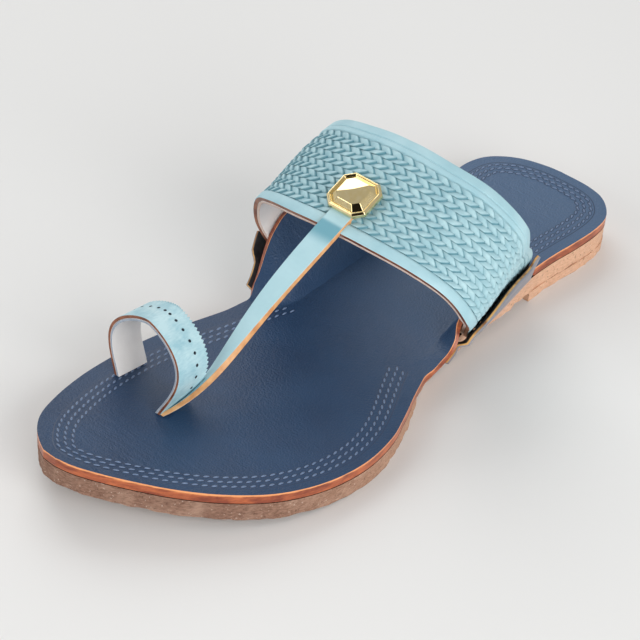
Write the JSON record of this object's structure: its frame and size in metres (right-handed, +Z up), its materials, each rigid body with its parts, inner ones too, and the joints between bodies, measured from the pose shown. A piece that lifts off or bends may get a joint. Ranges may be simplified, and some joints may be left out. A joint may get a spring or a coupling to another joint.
{
  "type": "kolhapuri sandal",
  "caption": "Flat open leather sandal, left shoe: wide instep band with a pressed braid, T-strap with a stud down to a toe ring, and side flaps at the waist.",
  "frame": {"origin": "On the floor plane, under the centre of the box of the whole shoe.", "axes": "+Z up; +Y towards the heel and -Y towards the toe; +X towards the outer (lateral) side of the left shoe."},
  "size_m": [0.0926, 0.2496, 0.0748],
  "materials": {
    "tan_outsole_leather": "raw tan buff leather, cut edge left unpainted",
    "tan_lift_leather": "raw tan leather layer, rough lower edge",
    "navy_insole_leather": "smooth navy leather, orange-brown painted edge",
    "light_blue_upper_leather": "light blue grained leather with a pressed braid and dark brown painted edges",
    "grey_flap_leather": "grey leather with a yellow-orange painted top edge",
    "gold_stud_metal": "bright gold-plated faceted stud"
  },
  "bodies": {
    "root": {"outsole": "tan_outsole_leather", "heel_lift": "tan_lift_leather", "insole": "navy_insole_leather", "flap_medial": "grey_flap_leather", "flap_lateral": "grey_flap_leather", "upper": "light_blue_upper_leather", "stud": "gold_stud_metal"}
  },
  "joints": []
}
